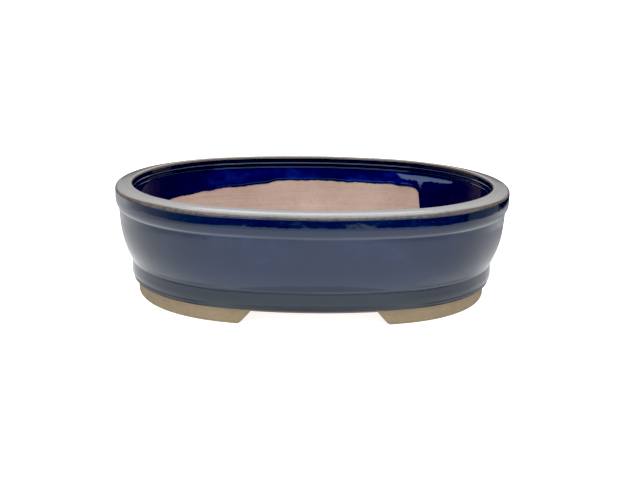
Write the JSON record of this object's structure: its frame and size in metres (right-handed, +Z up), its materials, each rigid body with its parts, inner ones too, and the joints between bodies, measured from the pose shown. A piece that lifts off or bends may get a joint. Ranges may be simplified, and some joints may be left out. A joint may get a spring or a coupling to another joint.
{
  "type": "oval bonsai pot",
  "caption": "Shallow oval bonsai pot in blue-glazed stoneware with a thick rim, a raised base band, long bare feet, drain holes and tie-wire holes.",
  "frame": {"origin": "middle of the pot's length and width, on the surface its feet stand on", "axes": "+X along the pot's length, to the right seen from the front; -Y is the front; +Z up"},
  "size_m": [0.26, 0.203, 0.074],
  "materials": {
    "body_clay": "matte, unglazed stoneware",
    "foot_clay": "matte, unglazed stoneware, toasted by the kiln",
    "outer_glaze": "gloss, deep cobalt that thins to olive grey along the rim",
    "inner_glaze": "gloss, thick cobalt"
  },
  "bodies": {
    "root": {"floor_slab": "body_clay", "wall": "body_clay", "rim": "body_clay", "base_band": "body_clay", "foot_left": "foot_clay", "foot_right": "foot_clay", "glaze_outside": "outer_glaze", "glaze_inside": "inner_glaze"}
  },
  "joints": []
}
